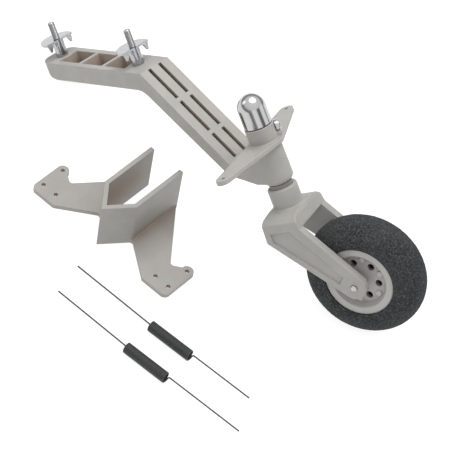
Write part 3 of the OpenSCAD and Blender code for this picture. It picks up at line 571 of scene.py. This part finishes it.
wire_radius, coil_outer = 0.000325, 0.0024
coil_radius = coil_outer - wire_radius
turn_steps, leg_steps, bend_steps, close_wound = 24, 24, 8, 1.01
spring_turn = math.radians(6.9)
clock_left, clock_right, splay = np.radians([-50.0, -32.0, 1.7])
exit_run = 0.0009
coil_black = black_wire("black_wire")
for spring in ("upper_spring", "lower_spring"):
    axis = np.array([math.cos(spring_turn), math.sin(spring_turn), 0.0])
    far = np.array([-math.sin(spring_turn), math.cos(spring_turn), 0.0])
    up = np.array([0.0, 0.0, 1.0])
    run, reach = points_of(spring) @ axis, points_of(spring) @ far
    near_edge = reach.min()
    coil = run[reach < near_edge + coil_radius]
    coil_start, coil_end = coil.min() + wire_radius, coil.max() - wire_radius
    middle = far * (near_edge + coil_radius + wire_radius) + up * (coil_radius + wire_radius)
    coils = round((coil_end - coil_start) / (2 * wire_radius * close_wound))
    angle = np.linspace(clock_left, clock_right + 2 * np.pi * coils, coils * turn_steps + 1)
    outward = np.cos(angle)[:, None] * far + np.sin(angle)[:, None] * up
    rise = np.linspace(coil_start, coil_end, len(angle))
    helix = middle + rise[:, None] * axis + coil_radius * outward
    left_root = middle + (coil_start - exit_run) * axis + coil_radius * outward[0]
    right_root = middle + (coil_end + exit_run) * axis + coil_radius * outward[-1]
    left_way = far * math.sin(splay) - axis * math.cos(splay)
    left_run = np.linspace(coil_start - exit_run - run.min(), 0, leg_steps)
    right_run = np.linspace(0, run.max() - coil_end - exit_run, leg_steps)
    left = left_root + left_run[:, None] * left_way
    right = right_root + right_run[:, None] * axis
    bend = np.linspace(0, 1, bend_steps)[1:-1, None]
    into = (1 - bend) ** 2 * left[-1] + 2 * bend * (1 - bend) * helix[0] + bend ** 2 * helix[2]
    out_of = (1 - bend) ** 2 * helix[-3] + 2 * bend * (1 - bend) * helix[-1] + bend ** 2 * right[0]
    path = np.concatenate([left, into, helix[2:-2], out_of, right])
    lead_in = np.repeat(outward[:1], len(left) + len(into), axis=0)
    lead_out = np.repeat(outward[-1:], len(right) + len(out_of), axis=0)
    wire = wire_rings(path, np.concatenate([lead_in, outward[2:-2], lead_out]), wire_radius)
    coiled = joined(spring + "_wire", [skin_mesh(spring + "_wire", wire)], coil_black)
    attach(coiled, "mount")
    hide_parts(spring)

# Table, light and camera
# A plain white table under a wide soft light from above, in a light tent with a gap between
# two of its panels, seen from the front right and well above through a long lens.

table_mesh = bpy.data.meshes.new("table")
half_width, table_rows, under_part = 8.0, 13, 0.00005
reach = np.linspace(-half_width, half_width, table_rows)
across, along = np.meshgrid(reach, reach)
table_points = np.stack([across, along, np.full_like(across, -under_part)], axis=-1)
index = np.arange(table_rows ** 2).reshape(table_rows, table_rows)
table_faces = np.stack([index[:-1, :-1], index[:-1, 1:], index[1:, 1:], index[1:, :-1]], axis=-1)
table_points, table_faces = table_points.reshape(-1, 3), table_faces.reshape(-1, 4)
table_mesh.from_pydata(table_points.tolist(), [], table_faces.tolist())
table = bpy.data.objects.new("table", table_mesh)
bpy.context.scene.collection.objects.link(table)
paper, paper_shader, paper_place = new_finish("white_paper")
fibre = noise(paper_place, 0.004, 3.0, 0.6)
paper_place.feed(paper_shader, {
    "Base Color": fibre.between(rgb(0.29, 0.29, 0.29), rgb(0.31, 0.31, 0.31)),
    "Roughness": 0.9,
    "Specular IOR Level": 0.1,
    "Emission Color": rgb(1.0, 1.0, 1.0),
    "Emission Strength": 0.84,
})
table_mesh.materials.append(paper)

world = bpy.data.worlds.new("light_tent")
bpy.context.scene.world = world
world.use_nodes = True
sky = world.node_tree.nodes["Background"]
above = Tone(world.node_tree)
direction = above.node("TexCoord", out="Generated")
east, north, rise = (above.node("SeparateXYZ", {0: direction}, out=way) for way in "XYZ")
glow = rise.node("ValToRGB", {0: rise * 0.5 + 0.5}, stops=[
    (0.0, rgb(0.8, 0.8, 0.8)), (0.495, rgb(0.10, 0.10, 0.11)), (0.515, rgb(0.14, 0.14, 0.15)),
    (0.545, rgb(0.42, 0.42, 0.43)), (0.65, rgb(0.52, 0.52, 0.52)), (0.75, rgb(1.25, 1.25, 1.25)),
    (1.0, rgb(1.45, 1.45, 1.45))])
aside = north - east * 0.16
off_gap = aside.maths("ABSOLUTE", aside, 0.0)
low_east = east.above(0.1, 0.4) * rise.above(0.03, 0.12) * (1 - rise.above(0.35, 0.6))
panel = low_east * off_gap.above(0.12, 0.32) * (1 - off_gap.above(0.7, 0.85))
gap = low_east * (1 - off_gap.above(0.12, 0.32))
lit = panel.between(glow, rgb(1.60, 1.60, 1.60))
rise.feed(sky, {"Color": (gap * 0.9).between(lit, rgb(0.10, 0.105, 0.11)), "Strength": 0.80})


def soft_box(name, place, aim, width, length, power):
    """An oval area light at place that faces aim."""
    light = bpy.data.lights.new(name, "AREA")
    light.shape = "ELLIPSE"
    light.size, light.size_y, light.energy = width, length, power
    lamp = bpy.data.objects.new(name, light)
    bpy.context.scene.collection.objects.link(lamp)
    look = frame_on(np.array(place) - np.array(aim), (0.0, 0.2, 1.0))
    lamp.matrix_world = Matrix.Translation(place) @ Matrix(look.T.tolist()).to_4x4()


soft_box("overhead", (-0.25, 0.25, 1.1), (0.0, 0.0, 0.0), width=0.9, length=0.9, power=7.0)
soft_box("left_side", (-0.9, -0.5, 0.5), (0.0, 0.0, 0.03), width=0.5, length=0.6, power=0.9)

image_pixels = 450
focal_pixels = 2305.3
camera_data = bpy.data.cameras.new("camera")
camera_data.sensor_width = 36.0
camera_data.lens = camera_data.sensor_width * focal_pixels / image_pixels
camera_data.clip_start, camera_data.clip_end = 0.01, 20.0
camera = bpy.data.objects.new("camera", camera_data)
bpy.context.scene.collection.objects.link(camera)
camera_right = (0.68378, 0.71747, 0.13298)
camera_up = (-0.62507, 0.48192, 0.61403)
camera_back = (0.37646, -0.50298, 0.77800)
camera_place = (0.37451, -0.45882, 0.74397)
view_axes = Matrix((camera_right, camera_up, camera_back)).transposed().to_4x4()
camera.matrix_world = Matrix.Translation(camera_place) @ view_axes
bpy.context.scene.camera = camera
bpy.context.scene.view_settings.view_transform = "Standard"
